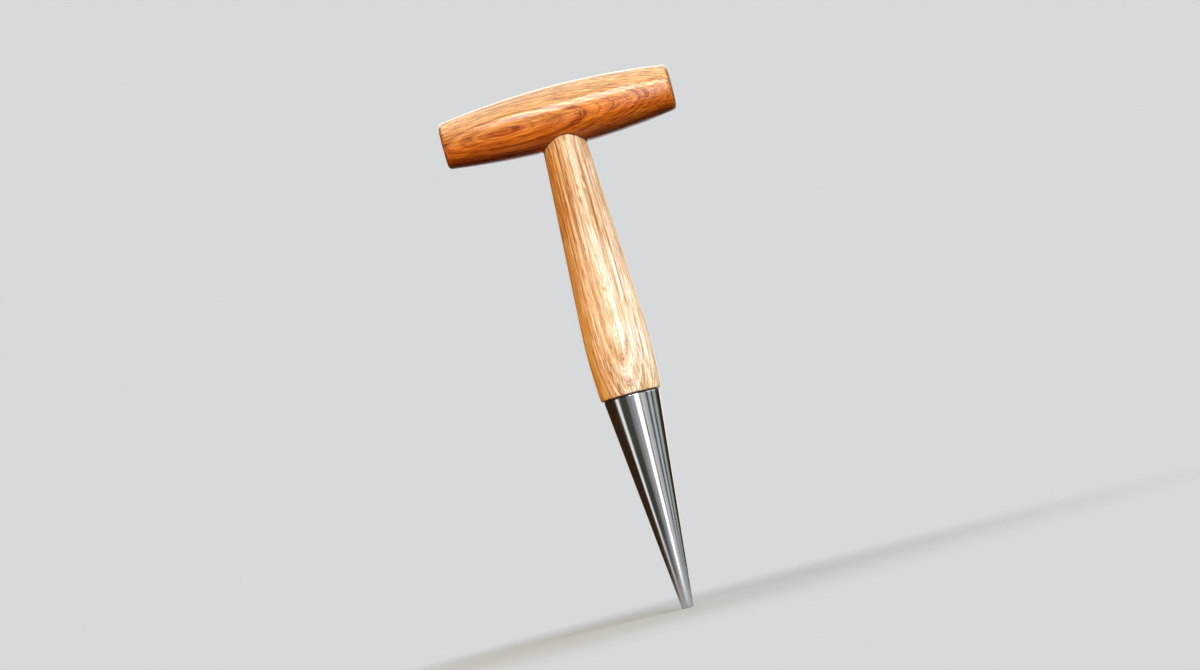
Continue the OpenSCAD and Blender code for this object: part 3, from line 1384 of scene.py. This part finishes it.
@dataclass
class Studio:
    """The pale floor, the soft lights and the camera at the photograph's viewing angle.

    Attributes:
        target: Point of the object in the middle of the photograph.
        eye_distance: Distance from the camera to the target's plane.
        eye_height: Height of the camera above the floor.
        roll: Turn of the camera round its line of sight, in degrees.
        view_width: Width that the photograph takes in at the target.
        clip: Nearest and furthest distance that the camera shows.
        backdrop: Colour behind the object.
        ambient: Share of the surroundings that lights dull surfaces.
        sky: Colour of the surroundings above.
        ground: Colour of the surroundings below.
        front_ground: Colour of the surroundings below, on the camera's side.
        front: The camera's side.
        horizon: Elevations between which the ground turns into sky, in degrees.
        strip_height: Elevations that the strip lights take up.
        strips: Lights that only gloss shows.
        floor_colour: Colour of the floor.
        floor_radius: Radius of the floor.
        floor_fade: Distances between which the floor fades into the backdrop.
        floor_mirrored: Distances between which the floor fades from what gloss shows.
        lights: The soft lights.
    """

    FLOOR_SIDES = 96

    target: Vector = field(default_factory=lambda: Vector((-7.7 * MM, 0.0, 147.5 * MM)))
    eye_distance: float = 1.4
    eye_height: float = 40 * MM
    roll: float = 14.9
    view_width: float = 622 * MM
    clip: Point = (0.05, 50.0)
    backdrop: Colour = linear(216, 217, 218)
    ambient: float = 0.15
    sky: Colour = (0.06, 0.06, 0.065)
    ground: Colour = (0.05, 0.022, 0.008)
    front_ground: Colour = (0.075, 0.074, 0.06)
    front: Window = Window(10.0, 62.0, 30.0)
    horizon: Span = Span(-4.0, 30.0)
    strip_height: Window = Window(-11.0, 17.0, 9.0)
    strips: Sequence[StripLight] = (
        StripLight(Window(19.5, 6, 5), 2.6),
        StripLight(Window(3, 8, 10), 0.42, (0.95, 0.95, 1.08)),
        StripLight(Window(-67, 4, 6), 1.35),
        StripLight(Window(-17, 3, 5), 0.25),
        StripLight(Window(41, 3, 4), 0.9),
        StripLight(Window(53, 4, 3), 0.68),
        StripLight(Window(77, 5, 4), 0.72, (0.82, 0.97, 1.06)),
        StripLight(Window(105, 6, 7), 0.55, (0.8, 1.0, 0.95)),
        StripLight(Window(172, 10, 8), 1.6),
    )
    floor_colour: Colour = (0.415, 0.45, 0.468)
    floor_radius: float = 0.8
    floor_fade: Span = Span(0.04, 0.36)
    floor_mirrored: Span = Span(0.02, 0.1)
    lights: Sequence[Softbox] = (
        Softbox("key_light", 28, 27, 1.3, (0.9, 0.3), 23, (0.96, 0.955, 0.97), Role.FILL),
        Softbox("right_fill", 62, 26, 1.3, (0.9, 0.6), 3.2, (0.9, 0.98, 1.0), Role.FILL),
        Softbox("warm_fill", -74, 16, 1.2, (0.6, 0.35), 12.5, (1.0, 0.48, 0.03), Role.FILL),
        Softbox("shaft_sheen", 20, 10, 1.3, (0.24, 0.6), 3.2, (0.82, 0.87, 1.0), Role.SHEEN),
        Softbox("key_sheen", 10, 47, 1.3, (1.8, 0.95), 7, (0.8, 1.0, 1.0), Role.SHEEN),
        Softbox("highlight", 7, 36, 1.25, (0.7, 0.34), 14, (0.9, 1.0, 1.0), Role.SHEEN),
        Softbox("side_light", 92, 18, 1.3, (1.2, 0.7), 6, (0.88, 0.97, 1.0)),
        Softbox("top_sheen", 0, 88, 1.2, (1.6, 1.3), 30, (0.8, 1.0, 0.9), Role.SHEEN),
        Softbox("back_light", 180, 36, 1.3, (1.3, 0.8), 9.5),
    )

    def camera(self) -> None:
        """Adds the camera and makes it the scene's own."""
        eye = Vector((self.target.x, -self.eye_distance, self.eye_height))
        ahead = (self.target - eye).normalized()
        right = ahead.cross(UP).normalized()
        up = right.cross(ahead)
        cos, sin = math.cos(math.radians(self.roll)), math.sin(math.radians(self.roll))
        right, up = right * cos - up * sin, up * cos + right * sin
        Bench.clear()
        bpy.ops.object.camera_add()
        camera = bpy.context.object
        rotation = Matrix((right, up, -ahead)).transposed().to_4x4()
        camera.matrix_world = Matrix.Translation(eye) @ rotation
        camera.data.lens = camera.data.sensor_width * (self.target - eye).length / self.view_width
        camera.data.clip_start, camera.data.clip_end = self.clip
        bpy.context.scene.camera = camera

    def surroundings(self) -> None:
        """Builds the world: soft light and strips for the object, and a plain backdrop for the camera."""
        world = bpy.data.worlds.new("studio")
        bpy.context.scene.world = world
        board = ShaderBoard(world)
        path = board.add("LightPath").outputs
        x, y, z = board.split(board.add("TexCoord").outputs["Generated"])
        azimuth = board.math("DEGREES", board.math("ARCTAN2", x, board.math("MULTIPLY", y, -1.0)))
        elevation = board.math("DEGREES", board.math("ARCSINE", z))
        ground = board.mix(self.front.open(board, azimuth), self.ground, self.front_ground)
        glow = board.mix(board.remap(elevation, self.horizon), ground, self.sky)
        share = board.mix(path["Is Glossy Ray"], (self.ambient,) * 3, WHITE)
        glow = board.mix(1.0, glow, share, "MULTIPLY")
        height = board.math("MULTIPLY", self.strip_height.open(board, elevation), path["Is Glossy Ray"])
        for strip in self.strips:
            seen = board.math("MULTIPLY", strip.width.open(board, azimuth), height)
            colour = tuple(channel * strip.strength for channel in strip.tint)
            glow = board.mix(1.0, glow, board.mix(seen, BLACK, colour), "ADD")
        lit, plain = (board.result("Background", {"Color": colour}) for colour in (glow, self.backdrop))
        world_shader = board.result("MixShader", {0: path["Is Camera Ray"], 1: lit, 2: plain})
        board.show(world_shader, "OutputWorld")

    def floor(self) -> None:
        """Adds a pale floor that fades into the backdrop."""
        Bench.clear()
        bpy.ops.mesh.primitive_circle_add(vertices=self.FLOOR_SIDES, radius=self.floor_radius,
                                          fill_type="NGON")
        floor = bpy.context.object
        floor.name = "pale_floor"
        material = bpy.data.materials.new("pale_floor")
        board = ShaderBoard(material)
        radius = board.vector("LENGTH", board.add("TexCoord").outputs["Object"])
        fade = board.result("MixShader", {
            0: board.remap(radius, self.floor_fade),
            1: board.result("BsdfDiffuse", {"Color": self.floor_colour}),
            2: board.result("Emission", {"Color": self.backdrop})})
        path = board.add("LightPath").outputs
        mirrored = board.math("MULTIPLY", path["Is Glossy Ray"], board.remap(radius, self.floor_mirrored))
        board.show(board.result("MixShader", {
            0: board.math("MAXIMUM", mirrored, path["Is Shadow Ray"]),
            1: fade,
            2: board.result("BsdfTransparent")}))
        floor.data.materials.append(material)
        floor.visible_diffuse = False

    def build(self) -> None:
        """Sets up the whole studio."""
        self.surroundings()
        self.camera()
        self.floor()
        for light in self.lights:
            light.hang(self.target)
        bpy.context.scene.view_settings.view_transform = "Standard"


def main() -> None:
    """Builds the studio and the dibber."""
    logging.basicConfig(level=logging.INFO, format="%(name)s: %(message)s")
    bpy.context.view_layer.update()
    Studio().build()
    bar_low, bar_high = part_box("crossbar")
    shaft_low, shaft_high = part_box("shaft")
    shell_low, shell_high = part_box("point_shell")
    point = SteelPoint(length=shell_high.z - shell_low.z)
    middle_d = bar_high.y - bar_low.y
    shaft = Shaft(shoulder_z=shell_high.z, neck_z=bar_high.z - middle_d, bottom=shaft_low.z,
                  top=shaft_high.z, point=point)
    dowel_low, dowel_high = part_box("tenon_dowel")
    dowel_d = dowel_high.x - dowel_low.x
    dowel_start = Vector((0, dowel_low.y, dowel_low.z + dowel_d / 2))
    bar = Crossbar(length=bar_high.x - bar_low.x, middle_d=middle_d, top_z=bar_high.z,
                   tenon_top=shaft_high.z, tenon_d=shaft.neck_d, dowel_start=dowel_start, dowel_d=dowel_d)
    point.build()
    shaft.build([bar.dowel_hole(), point.screw_hole()])
    bar.build()


if __name__ == "__main__":
    main()
